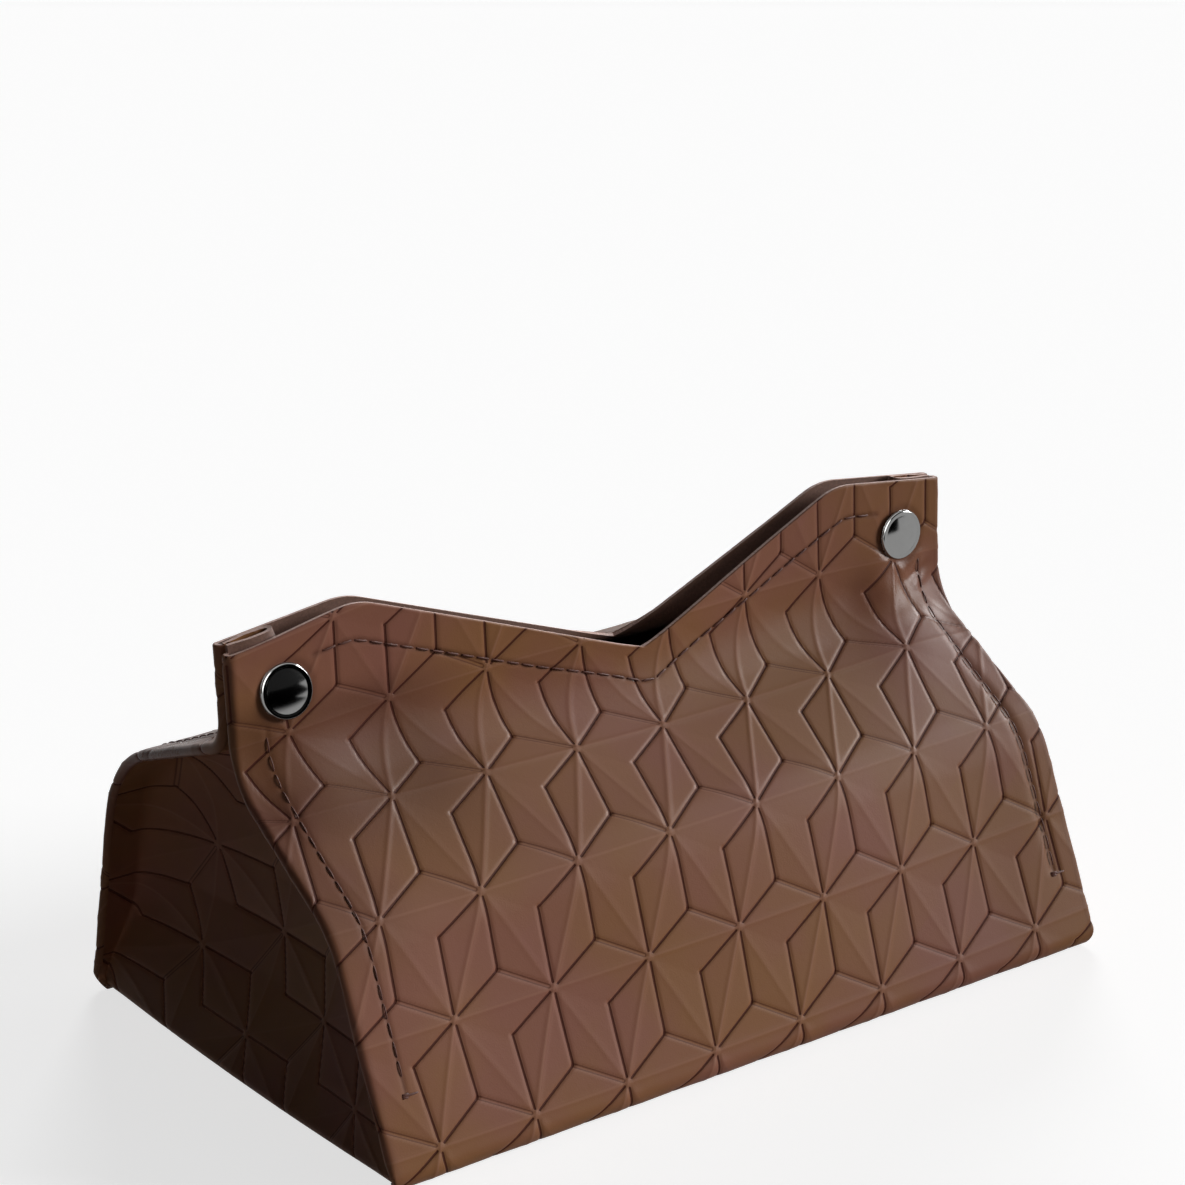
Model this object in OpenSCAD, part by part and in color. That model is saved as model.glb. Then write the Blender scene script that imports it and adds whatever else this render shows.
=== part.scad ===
// Soft leather cover for a pack of tissues. The front and rear walls fold up from the base, lean
// together over the pack and meet in an upright collar with a V-shaped mouth. A pleated end panel
// joins them at each side, and a press stud near each top corner pinches the collar shut.
// Frame: X along the width, front towards -Y, Z up, origin under the base, below the mouth.

/* [Cover] */
// Width along the front
width = 200; // [180:1:230]
// Height to the highest points of the collar, beside the V of the mouth
height = 109.5; // [106:0.5:120]
// Thickness of the leather
leather_t = 1.2; // [0.9:0.1:1.4]
// Clear gap between the front and the rear wall at the collar
mouth_gap = 4.9; // [4.6:0.1:6]
// Outer radius of the folds along the base
fold_r = 3.5; // [3.2:0.1:5]
// Gap between a wall's end and the base at its fold
fold_gap = 0.5; // [0.4:0.1:0.8]
// Gap between leather plies that lie on each other
ply_gap = 0.35; // [0.3:0.05:0.5]

/* [Front wall] */
// Reach of the front fold from the middle of the mouth
front_reach = 61.2; // [57:0.2:68]
// Reach of the front shoulder from the middle of the mouth
front_shoulder_reach = 40.3; // [37:0.1:44]
// Height of the front shoulder
front_shoulder_h = 52.7; // [48:0.1:56]
// Radius of the front shoulder
front_shoulder_r = 22; // [10:1:26]
// Length of the front collar, from the throat to its top edge
front_collar_l = 33.5; // [32:0.5:36]
// Radius of the front throat
front_throat_r = 16; // [8:1:17]

/* [Rear wall] */
// Reach of the rear fold from the middle of the mouth
rear_reach = 77; // [70:0.5:84]
// Reach of the rear shoulder from the middle of the mouth
rear_shoulder_reach = 57; // [54:0.5:62]
// Height of the rear shoulder
rear_shoulder_h = 65; // [60:0.5:68]
// Radius of the rear shoulder
rear_shoulder_r = 34; // [10:1:38]
// Length of the rear collar, from the throat to its top edge
rear_collar_l = 26.5; // [26:0.5:30]
// Radius of the rear throat
rear_throat_r = 7; // [4:0.5:8]

/* [Mouth] */
// Half of the width of the V between its two shoulders
notch_half_w = 68; // [55:1:72]
// Depth of the V below its shoulders
notch_depth = 26.8; // [20:0.2:28]
// Distance of the bottom of the V from the middle, towards +X
notch_offset = 6; // [0:0.5:9]
// How much lower the collar's corners are than the shoulders of the V
corner_drop = 4; // [2:0.5:5]
// Radius of each shoulder of the V
notch_shoulder_r = 18; // [8:1:30]
// Radius at the bottom of the V
notch_tip_r = 1.5; // [0.5:0.1:4]

/* [End panels] */
// Width of the hem where an end panel is sewn to a wall
hem_w = 8; // [6.5:0.5:9]
// Width of that hem at the base
hem_base_w = 2; // [1:0.5:3]
// Height over which the hem grows to its full width
hem_rise = 25; // [18:1:32]
// Distance from the cover's side to the foot of an end panel
end_inset = 2.5; // [2.2:0.1:4]
// How far the middle of an end panel sinks in at its deepest
end_dent = 21; // [14:0.5:24]
// Distance from the cover's side to the pleat's inner fold at the top
pleat_top_inset = 11.2; // [9:0.2:12]
// Least radius of the pleat's inner fold, at the middle of the leather
pleat_fold_r = 1.1; // [0.9:0.05:1.3]

/* [Stitching] */
// Radius of the thread
thread_r = 0.3; // [0.2:0.05:0.4]
// Length of one stitch
stitch_l = 3.3; // [2:0.1:3.5]
// Distance from one stitch to the next
stitch_pitch = 4.1; // [3.9:0.1:6]
// Distance of the mouth's stitching from the edge
mouth_stitch_inset = 8; // [6:0.5:9]
// Height of the lowest side stitch, measured up the wall from its fold
side_stitch_start = 22; // [16:1:30]
// Length of a bar tack
tack_l = 4.2; // [3:0.1:5]
// Radius of a bar tack
tack_r = 0.5; // [0.3:0.05:0.6]

/* [Press studs] */
// Distance of a press stud from the side
snap_inset = 13.5; // [13:0.1:15]
// Distance of a press stud below the collar's highest points
snap_drop = 15.9; // [15:0.1:16.2]
// Radius of the cap
cap_r = 6.25; // [5.5:0.05:6.6]
// Height of the cap above the leather
cap_h = 1.9; // [1.4:0.1:2.4]
// Height of the cap's rolled rim
cap_rim_h = 0.9; // [0.6:0.1:1.2]
// Radius of the flat rivet head behind the rear wall
head_r = 4.75; // [4:0.05:4.9]
// Height of that rivet head
head_h = 1; // [0.7:0.1:1.4]
// Radius of the rivet posts
post_r = 1.5; // [1.2:0.05:1.6]
// Clearance round a rivet post in its hole
post_gap = 0.15; // [0.1:0.05:0.25]
// Outer radius of the socket
socket_r = 4.8; // [4.6:0.1:5]
// Height of the socket
socket_h = 2.2; // [2.1:0.05:2.3]
// Thickness of the socket's floor
socket_floor = 0.6; // [0.5:0.05:0.7]
// Radius of the socket's bore
socket_bore_r = 3.5; // [3.4:0.05:3.8]
// Radius of the wire in the socket's spring ring
spring_wire_r = 0.25; // [0.15:0.01:0.3]
// Radius of the stud's flange
stud_flange_r = 4.4; // [4:0.1:4.8]
// Thickness of the stud's flange
stud_flange_t = 0.7; // [0.5:0.05:0.8]
// Radius of the stud where it leaves the flange
stud_root_r = 2.75; // [2.4:0.05:2.8]
// Radius of the stud's flat tip
stud_tip_r = 1.95; // [1.7:0.05:2]
// How far the stud's tip reaches into the socket
stud_engagement = 0.9; // [0.7:0.05:1]

/* [Hidden] */

leather_brown = [0.42, 0.29, 0.22];
gusset_brown = [0.36, 0.24, 0.18];
thread_brown = [0.22, 0.12, 0.09];
nickel = [0.75, 0.75, 0.74];
steel = [0.6, 0.6, 0.6];

half_w = width / 2;
face_reach = mouth_gap / 2 + leather_t;
cut_overrun = 6;
arc_steps = 6;
lower_steps = 6;
slope_steps = 2;
collar_steps = 4;
pleat_points = 16;
round_fn = 64;
thread_fn = 16;
thread_lift = 0.1;
base_side_inset = 1.3;
base_half_w = half_w - base_side_inset;
snap_x = half_w - snap_inset;
snap_z = height - snap_drop;
snap_hole_gap = 0.4;
snap_hole_r = socket_r + snap_hole_gap;
// A socket rises by this much as its wall folds out, before its back end has left the end panel
socket_climb = (socket_h - ply_gap)
    * (fold_reach(front_shape(height)) - face_reach) / (snap_z - fold_r);
max_pleat_power = 14;

// Corners of a wall's outer face up to a top, seen from its side as [reach, height], and their radii
function front_shape(top) = [
    [[0, 0], [front_reach, 0], [front_shoulder_reach, front_shoulder_h],
     [face_reach, height - front_collar_l], [face_reach, top]],
    [fold_r, front_shoulder_r, front_throat_r]
];
function rear_shape(top) = [
    [[0, 0], [rear_reach, 0], [rear_shoulder_reach, rear_shoulder_h],
     [face_reach, height - rear_collar_l], [face_reach, top]],
    [fold_r, rear_shoulder_r, rear_throat_r]
];

// Corners and radii of the mouth's edge, as [x, height above the highest points]
mouth_shape = [
    [[-half_w, -corner_drop], [-notch_half_w, 0], [notch_offset, -notch_depth],
     [notch_half_w, 0], [half_w, -corner_drop]],
    [notch_shoulder_r, notch_tip_r, notch_shoulder_r]
];

// Where the middle of an end panel runs, as [share of the height, share of the dent]
dent_line_shares = [
    [0, 0], [0.09, 0.26], [0.19, 0.55], [0.28, 0.77], [0.38, 0.91],
    [0.48, 0.98], [0.58, 1], [0.66, 0.99], [0.74, 0.9]
];

function unit(v) = v / norm(v);
function left_of(v) = [-v[1], v[0]];
function heading(v) = atan2(v[1], v[0]);
function towards(angle) = [cos(angle), sin(angle)];
function wrap(angle) = angle > 180 ? angle - 360 : (angle < -180 ? angle + 360 : angle);
function clamp(v, low, high) = max(low, min(high, v));
function smooth(s) = let (c = clamp(s, 0, 1)) c * c * (3 - 2 * c);

// Turn at corner i of a shape, and the length of straight that its round uses up
function turn_at(corners, i) = wrap(
    heading(corners[i + 1] - corners[i]) - heading(corners[i] - corners[i - 1]));
function tangent_at(shape, i) = shape[1][i - 1] * tan(abs(turn_at(shape[0], i)) / 2);

// Reach of a wall's fold, where the flat base ends
function fold_reach(shape) = shape[0][1][0] - tangent_at(shape, 1);

// Points of the round at corner i, moved off to the left of the path
function round_at(shape, i, off) =
    let (
        corner = shape[0][i],
        r = shape[1][i - 1],
        turn = turn_at(shape[0], i),
        side = sign(turn),
        into = unit(corner - shape[0][i - 1]),
        centre = corner - into * tangent_at(shape, i) + left_of(into) * r * side,
        first = heading(into)
    )
    [for (j = [0:arc_steps])
        centre - left_of(towards(first + turn * j / arc_steps)) * side * (r - side * off)];

// Points between two points, without the two
function between(a, b, steps) = [for (j = [1:steps - 1]) a + (b - a) * j / steps];

// A wall's face from its fold to its top edge, moved in from the outer face
function wall_line(shape, off) =
    let (
        fold = round_at(shape, 1, off),
        shoulder = round_at(shape, 2, off),
        throat = round_at(shape, 3, off),
        top = shape[0][4] - [off, 0]
    )
    concat(
        fold, between(fold[arc_steps], shoulder[0], lower_steps),
        shoulder, between(shoulder[arc_steps], throat[0], slope_steps),
        throat, between(throat[arc_steps], top, collar_steps), [top]
    );

// The mouth's edge, moved down into the leather
function mouth_line(inset) = concat(
    round_at(mouth_shape, 1, -inset),
    round_at(mouth_shape, 2, -inset),
    round_at(mouth_shape, 3, -inset)
);

// The same, run on at both ends as far as a distance from the middle
function mouth_row(inset, reach) =
    let (
        line = mouth_line(inset),
        last = line[len(line) - 1],
        rise = unit(mouth_shape[0][1] - mouth_shape[0][0]),
        fall = unit(mouth_shape[0][4] - mouth_shape[0][3])
    )
    concat(
        [line[0] - rise * (reach + line[0][0]) / rise[0]], line,
        [last + fall * (reach - last[0]) / fall[0]]
    );

// The length of a line of points, and the point at a distance along it
function line_length(points, i = 0) =
    i >= len(points) - 1 ? 0 : norm(points[i + 1] - points[i]) + line_length(points, i + 1);
function line_point(points, s, i = 0) =
    let (step = norm(points[i + 1] - points[i]))
    s <= step || i >= len(points) - 2
        ? points[i] + (points[i + 1] - points[i]) * s / step
        : line_point(points, s - step, i + 1);
function reversed(points) = [for (i = [len(points) - 1:-1:0]) points[i]];

// A place on a wall: x, and the distance down from the top edge along the leather
front_skin = reversed(wall_line(front_shape(height), -thread_r - thread_lift));
rear_skin = reversed(wall_line(rear_shape(height), -thread_r - thread_lift));
function on_wall(skin, side, x, drop) =
    let (p = line_point(skin, drop)) [x, side * p[0], p[1]];

// One stitch, or one bar tack, as a round bar from a to b
module bar(a, b, r) {
    d = b - a;
    translate(a)
        rotate([0, acos(d[2] / norm(d)), atan2(d[1], d[0])])
            cylinder(h = norm(d), r = r, $fn = thread_fn);
}

// A wall's profile, drawn along the whole width
module wall_sheet(shape, side) {
    outline = concat(wall_line(shape, 0), reversed(wall_line(shape, leather_t)));
    rotate([90, 0, 90])
        translate([0, 0, -half_w])
            linear_extrude(height = width)
                polygon([for (p = outline) [side * p[0], p[1]]]);
}

// What the V-shaped mouth takes out of a collar
module mouth_cut() {
    reach = half_w + cut_overrun;
    outline = concat([[-reach, cut_overrun]], mouth_row(0, reach), [[reach, cut_overrun]]);
    translate([0, face_reach + cut_overrun, height])
        rotate([90, 0, 0])
            linear_extrude(height = 2 * (face_reach + cut_overrun))
                polygon(outline);
}

// A place's own frame: Z points out through the front at a press stud, from the mouth's middle
module at_snap(side_x) {
    translate([side_x * snap_x, 0, snap_z])
        rotate([90, 0, 0])
            children();
}

module post_holes() {
    for (side_x = [-1, 1])
        at_snap(side_x)
            translate([0, 0, -face_reach - cut_overrun])
                cylinder(h = 2 * (face_reach + cut_overrun), r = post_r + post_gap, $fn = round_fn);
}

module wall(shape, side) {
    color(leather_brown)
        difference() {
            wall_sheet(shape, side);
            mouth_cut();
            post_holes();
        }
}

module base_panel() {
    front_end = fold_reach(front_shape(height)) - fold_gap;
    rear_end = fold_reach(rear_shape(height)) - fold_gap;
    color(leather_brown)
        translate([-base_half_w, -front_end, 0])
            cube([2 * base_half_w, front_end + rear_end, leather_t]);
}

module front_wall() {
    wall(front_shape(height), -1);
}

module rear_wall() {
    wall(rear_shape(height), 1);
}

// How far in from the side the hem's stitching and the middle of an end panel lie at height z
function hem_at(z) = hem_base_w + (hem_w - hem_base_w) * smooth(z / hem_rise);
function dent_inset(z) = end_inset + end_dent * lookup(z / height, dent_line_shares);
function middle_inset(z) =
    let (
        last = dent_line_shares[len(dent_line_shares) - 1],
        foot = last[0] * height
    )
    z < foot ? dent_inset(z)
        : dent_inset(foot) + (pleat_top_inset - dent_inset(foot)) * (z - foot) / (height - foot);

// One level of an end panel's face, from the front wall round the pleat to the rear wall. deep
// moves the face into the box, and off is how far it lies inside the walls' outer faces.
function panel_level(front_point, rear_point, deep, fold_radius) =
    let (
        z_mean = (front_point[1] + rear_point[1]) / 2,
        half_span = (front_point[0] + rear_point[0]) / 2,
        centre = (rear_point[0] - front_point[0]) / 2,
        start = half_w - hem_at(z_mean),
        depth = max(middle_inset(z_mean) + deep - hem_at(z_mean), leather_t / 4),
        power = clamp(2 * depth * fold_radius / (half_span * half_span), 2, max_pleat_power),
        curve = [for (k = [0:pleat_points])
            let (a = 180 * k / pleat_points)
            [start - depth * pow(sin(a), 2 / power), centre - half_span * cos(a)]],
        flat = concat([[half_w, centre - half_span]], curve, [[half_w, centre + half_span]])
    )
    [for (p = flat)
        [-p[0], p[1], front_point[1] + (rear_point[1] - front_point[1])
            * (p[1] + front_point[0]) / (2 * half_span)]];

// The end panel at the left, as a closed sheet between two faces
module end_panel() {
    near = leather_t + ply_gap;
    far = near + leather_t;
    top = height - corner_drop;
    front_near = wall_line(front_shape(top), near);
    rear_near = wall_line(rear_shape(top), near);
    front_far = wall_line(front_shape(top), far);
    rear_far = wall_line(rear_shape(top), far);
    rows = len(front_near);
    inner = [for (i = [0:rows - 1])
        panel_level(front_near[i], rear_near[i], leather_t / 2, pleat_fold_r + leather_t / 2)];
    outer = [for (i = [0:rows - 1])
        panel_level(front_far[i], rear_far[i], -leather_t / 2, pleat_fold_r - leather_t / 2)];
    columns = len(inner[0]);
    count = rows * columns;
    points = concat([for (row = inner) each row], [for (row = outer) each row]);
    at = function (face, i, j) face * count + i * columns + j;
    faces = concat(
        [for (i = [0:rows - 2], j = [0:columns - 2]) each [
            [at(0, i, j), at(0, i + 1, j), at(0, i + 1, j + 1)],
            [at(0, i, j), at(0, i + 1, j + 1), at(0, i, j + 1)],
            [at(1, i, j), at(1, i + 1, j + 1), at(1, i + 1, j)],
            [at(1, i, j), at(1, i, j + 1), at(1, i + 1, j + 1)]]],
        [for (j = [0:columns - 2]) each [
            [at(0, 0, j), at(0, 0, j + 1), at(1, 0, j + 1)],
            [at(0, 0, j), at(1, 0, j + 1), at(1, 0, j)],
            [at(0, rows - 1, j), at(1, rows - 1, j + 1), at(0, rows - 1, j + 1)],
            [at(0, rows - 1, j), at(1, rows - 1, j), at(1, rows - 1, j + 1)]]],
        [for (i = [0:rows - 2]) each [
            [at(0, i, 0), at(1, i, 0), at(1, i + 1, 0)],
            [at(0, i, 0), at(1, i + 1, 0), at(0, i + 1, 0)],
            [at(0, i, columns - 1), at(1, i + 1, columns - 1), at(1, i, columns - 1)],
            [at(0, i, columns - 1), at(0, i + 1, columns - 1), at(1, i + 1, columns - 1)]]]
    );
    difference() {
        polyhedron(points, faces);
        at_snap(-1)
            translate([0, 0, -face_reach]) {
                for (climb = [0, socket_climb])
                    translate([0, climb, 0])
                        cylinder(h = 2 * face_reach, r = snap_hole_r, $fn = round_fn);
                translate([-snap_hole_r, 0, 0])
                    cube([2 * snap_hole_r, socket_climb, 2 * face_reach]);
            }
    }
}

module left_gusset() {
    color(gusset_brown) end_panel();
}

module right_gusset() {
    color(gusset_brown) mirror([1, 0, 0]) end_panel();
}

// The row of stitches that follows the mouth, from one press stud to the other
module mouth_stitching(skin, side) {
    first_x = snap_x - cap_r - 1.5 * thread_r - stitch_pitch / 4;
    line = mouth_row(mouth_stitch_inset, first_x);
    count = floor((line_length(line) - stitch_l) / stitch_pitch);
    start = (line_length(line) - count * stitch_pitch - stitch_l) / 2;
    color(thread_brown)
        for (i = [0:count]) {
            a = line_point(line, start + i * stitch_pitch);
            b = line_point(line, start + i * stitch_pitch + stitch_l);
            bar(on_wall(skin, side, a[0], -a[1]), on_wall(skin, side, b[0], -b[1]), thread_r);
        }
}

module front_mouth_stitching() {
    mouth_stitching(front_skin, -1);
}

module rear_mouth_stitching() {
    mouth_stitching(rear_skin, 1);
}

// A side seam's stitches, from the bar tack up to just below the press stud
module side_seam(skin, side, side_x) {
    x = side_x * (half_w - hem_w);
    low = line_length(skin) - side_stitch_start - stitch_pitch;
    high = snap_drop + cap_r + stitch_pitch / 4;
    count = floor((low - high - stitch_l) / stitch_pitch);
    color(thread_brown)
        for (i = [0:count])
            bar(
                on_wall(skin, side, x, low - i * stitch_pitch),
                on_wall(skin, side, x, low - i * stitch_pitch - stitch_l),
                thread_r
            );
}

module front_left_seam() {
    side_seam(front_skin, -1, -1);
}

module front_right_seam() {
    side_seam(front_skin, -1, 1);
}

module rear_left_seam() {
    side_seam(rear_skin, 1, -1);
}

module rear_right_seam() {
    side_seam(rear_skin, 1, 1);
}

// The bars that lock the lower ends of a wall's two side seams
module bar_tacks(shape, side) {
    skin = reversed(wall_line(shape, -tack_r - thread_lift));
    drop = line_length(skin) - side_stitch_start;
    color(thread_brown)
        for (side_x = [-1, 1]) {
            x = side_x * (half_w - hem_w) - tack_l / 2;
            bar(
                on_wall(skin, side, x, drop),
                on_wall(skin, side, x + tack_l, drop),
                tack_r
            );
        }
}

module front_bar_tacks() {
    bar_tacks(front_shape(height), -1);
}

module rear_bar_tacks() {
    bar_tacks(rear_shape(height), 1);
}

// The domed cap in front, with its rolled rim and its post through the wall
module snap_cap(side_x) {
    dome_r = (cap_r * cap_r + pow(cap_h - cap_rim_h, 2)) / (2 * (cap_h - cap_rim_h));
    color(nickel)
        at_snap(side_x) {
            translate([0, 0, face_reach])
                cylinder(h = cap_rim_h, r = cap_r, $fn = round_fn);
            translate([0, 0, face_reach + cap_rim_h])
                intersection() {
                    cylinder(h = cap_h - cap_rim_h, r = cap_r, $fn = round_fn);
                    translate([0, 0, cap_h - cap_rim_h - dome_r])
                        sphere(r = dome_r, $fn = round_fn);
                }
            translate([0, 0, face_reach - leather_t - socket_floor])
                cylinder(h = leather_t + socket_floor, r = post_r, $fn = round_fn);
        }
}

// The socket behind the front wall, open towards the rear
module snap_socket(side_x) {
    color(steel)
        at_snap(side_x)
            translate([0, 0, mouth_gap / 2 - socket_h])
                difference() {
                    cylinder(h = socket_h, r = socket_r, $fn = round_fn);
                    translate([0, 0, -cut_overrun])
                        cylinder(
                            h = socket_h - socket_floor + cut_overrun, r = socket_bore_r, $fn = round_fn);
                    cylinder(h = socket_h + cut_overrun, r = post_r + post_gap, $fn = round_fn);
                }
}

// The split ring of spring wire that lines the socket's bore
module snap_spring(side_x) {
    split_angle = 40;
    depth = socket_h - stud_engagement / 2;
    color(steel)
        at_snap(side_x)
            translate([0, 0, mouth_gap / 2 - depth])
                rotate([0, 0, split_angle / 2])
                    rotate_extrude(angle = 360 - split_angle, $fn = round_fn)
                        translate([socket_bore_r - spring_wire_r - post_gap, 0])
                            circle(r = spring_wire_r, $fn = thread_fn);
}

// The stud inside the rear wall: a flange and a tapered nose that enters the socket
module snap_stud(side_x) {
    nose_h = mouth_gap - stud_flange_t - socket_h + stud_engagement;
    color(steel)
        at_snap(side_x)
            translate([0, 0, -mouth_gap / 2])
                difference() {
                    union() {
                        cylinder(h = stud_flange_t, r = stud_flange_r, $fn = round_fn);
                        translate([0, 0, stud_flange_t])
                            cylinder(h = nose_h, r1 = stud_root_r, r2 = stud_tip_r, $fn = round_fn);
                    }
                    translate([0, 0, -cut_overrun])
                        cylinder(
                            h = stud_flange_t + cut_overrun, r = post_r + post_gap, $fn = round_fn);
                }
}

// The rivet behind the rear wall, whose post holds the stud
module snap_post(side_x) {
    color(nickel)
        at_snap(side_x) {
            translate([0, 0, -face_reach - head_h])
                cylinder(h = head_h, r = head_r, $fn = round_fn);
            translate([0, 0, -face_reach])
                cylinder(h = leather_t + stud_flange_t - post_gap, r = post_r, $fn = round_fn);
        }
}

module left_snap_cap() { snap_cap(-1); }
module left_snap_socket() { snap_socket(-1); }
module left_snap_spring() { snap_spring(-1); }
module left_snap_stud() { snap_stud(-1); }
module left_snap_post() { snap_post(-1); }
module right_snap_cap() { snap_cap(1); }
module right_snap_socket() { snap_socket(1); }
module right_snap_spring() { snap_spring(1); }
module right_snap_stud() { snap_stud(1); }
module right_snap_post() { snap_post(1); }

base_panel();
front_wall();
rear_wall();
left_gusset();
right_gusset();
front_mouth_stitching();
rear_mouth_stitching();
front_left_seam();
front_right_seam();
rear_left_seam();
rear_right_seam();
front_bar_tacks();
rear_bar_tacks();
left_snap_cap();
left_snap_socket();
left_snap_spring();
left_snap_stud();
left_snap_post();
right_snap_cap();
right_snap_socket();
right_snap_spring();
right_snap_stud();
right_snap_post();
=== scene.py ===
import math

import bmesh
import bpy
import numpy as np
from mathutils import Matrix, Vector


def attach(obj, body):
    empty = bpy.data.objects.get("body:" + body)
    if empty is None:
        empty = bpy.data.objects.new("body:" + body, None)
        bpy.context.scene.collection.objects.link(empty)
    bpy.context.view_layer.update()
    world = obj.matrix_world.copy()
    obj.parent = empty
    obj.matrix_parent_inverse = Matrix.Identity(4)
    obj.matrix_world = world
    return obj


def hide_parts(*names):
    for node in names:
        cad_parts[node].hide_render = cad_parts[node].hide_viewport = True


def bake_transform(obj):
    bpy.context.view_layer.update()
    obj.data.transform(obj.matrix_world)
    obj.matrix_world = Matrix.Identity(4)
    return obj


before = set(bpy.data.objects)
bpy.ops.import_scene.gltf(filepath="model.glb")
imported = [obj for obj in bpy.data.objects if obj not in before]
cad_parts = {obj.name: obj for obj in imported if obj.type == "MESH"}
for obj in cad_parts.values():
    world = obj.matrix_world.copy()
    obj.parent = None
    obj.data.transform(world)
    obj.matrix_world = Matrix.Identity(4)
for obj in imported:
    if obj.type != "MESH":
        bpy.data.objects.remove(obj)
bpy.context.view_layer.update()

# Sizes in millimetres, as in the solids
MM = 0.001
WIDTH, HEIGHT = 200.0, 109.5
HALF = WIDTH / 2
LEATHER = 1.2
MOUTH_GAP = 4.9
FACE_REACH = MOUTH_GAP / 2 + LEATHER
PLY_GAP = 0.35
FOLD_R, FOLD_GAP = 3.5, 0.5
WALLS = {
    "front": {
        "side": -1,
        "corners": [(0, 0), (61.2, 0), (40.3, 52.7), (FACE_REACH, HEIGHT - 33.5), (FACE_REACH, HEIGHT)],
        "radii": [FOLD_R, 22.0, 16.0],
    },
    "rear": {
        "side": 1,
        "corners": [(0, 0), (77.0, 0), (57.0, 65.0), (FACE_REACH, HEIGHT - 26.5), (FACE_REACH, HEIGHT)],
        "radii": [FOLD_R, 34.0, 7.0],
    },
}
SIDES = ((-1, "left"), (1, "right"))
NOTCH_HALF, NOTCH_DEPTH = 68.0, 26.8
CORNER_DROP, SHOULDER_R, TIP_R = 4.0, 18.0, 1.5
HEM, HEM_BASE, HEM_RISE = 8.0, 2.0, 25.0
END_INSET, END_DENT, PLEAT_TOP, PLEAT_FOLD_R = 2.5, 21.0, 11.2, 1.1
# The end panels' dent: heights as shares of HEIGHT, and the share of END_DENT at each
DENT_Z = [0, 0.09, 0.19, 0.28, 0.38, 0.48, 0.58, 0.66, 0.74]
DENT_SHARE = [0, 0.26, 0.55, 0.77, 0.91, 0.98, 1, 0.99, 0.9]
SNAP_X, SNAP_Z = HALF - 13.5, HEIGHT - 15.9
CAP_R = 6.25
STITCH_PITCH, STITCH_L = 4.1, 3.3
STITCH_INSET, SIDE_START = 8.0, 22.0

# Closer to the photograph than the solids: how far the V's tip lies beside the middle, 6 in the solids, and how
# much lower the front left corner is
NOTCH_OFFSET, LEFT_CORNER_LOWER = 7.2, 1.5

# The embossed lattice: spacing of the stars in a row, and of the rows. Grooves stop short of the stars
STAR_A, STAR_B = 24.6, 25.2
GROOVE_STOP = 1.3

# The photograph's camera: yaw, pitch and roll in degrees, place in millimetres, and focal length in pixels
CAMERA_TURN = (35.034, 17.717, -2.013)
CAMERA_PLACE = (-403.29, -571.35, 319.76)
FOCAL_PIXELS, PHOTO_PIXELS = 3200.0, 1185.0
SENSOR = 36.0
CLIP_NEAR, CLIP_FAR = 0.01, 20.0


def add_object(name, data):
    obj = bpy.data.objects.new(name, data)
    bpy.context.scene.collection.objects.link(obj)
    return obj


def new_mesh(name, verts, faces):
    mesh = bpy.data.meshes.new(name)
    mesh.from_pydata(verts, [], faces)
    mesh.polygons.foreach_set("use_smooth", np.ones(len(faces), bool))
    return mesh


def camera():
    yaw, pitch, roll = (math.radians(v) for v in CAMERA_TURN)
    look = Vector((math.sin(yaw) * math.cos(pitch), math.cos(yaw) * math.cos(pitch), -math.sin(pitch)))
    level = look.cross(Vector((0, 0, 1))).normalized()
    up = level.cross(look)
    right = level * math.cos(roll) + up * math.sin(roll)
    top = up * math.cos(roll) - level * math.sin(roll)
    data = bpy.data.cameras.new("camera")
    data.sensor_width = SENSOR
    data.lens = SENSOR * FOCAL_PIXELS / PHOTO_PIXELS
    data.clip_start, data.clip_end = CLIP_NEAR, CLIP_FAR
    cam = add_object("camera", data)
    turn = Matrix((right, top, -look)).transposed().to_4x4()
    cam.matrix_world = Matrix.Translation(Vector(CAMERA_PLACE) * MM) @ turn
    bpy.context.scene.camera = cam


# Soft steps and spots

def smooth(t):
    """An S-shaped step from 0 to 1."""
    t = np.clip(t, 0, 1)
    return t * t * (3 - 2 * t)


def rise(value, start, length):
    """0 up to start, then a soft step up to 1 over a length."""
    return smooth((value - start) / length)


def fall(value, end, length):
    """1, then a soft step down over a length to 0 at end."""
    return smooth((end - value) / length)


def bell(*offsets):
    """1 at a place and fading round it. Each offset is a distance from it over a half width."""
    return np.exp(-sum(offset ** 2 for offset in offsets))


# Walls

# How far each form of the slack leather stands out
WAVE, CROSS_WAVE, SWELL, LIP, ENDS, PULL, CREASE = 0.45, 0.3, 1.4, 2.6, 1.9, 1.5, 0.35
REAR_LIP_SHARE = 0.4
# Where the last three are: x and half width, then the length below the collar's edge and half width
ENDS_SPOT, PULL_SPOT, CREASE_SPOT = (84, 13, 38, 15), (80, 7, 28, 7), (91, 4.5, 25, 5)


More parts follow.
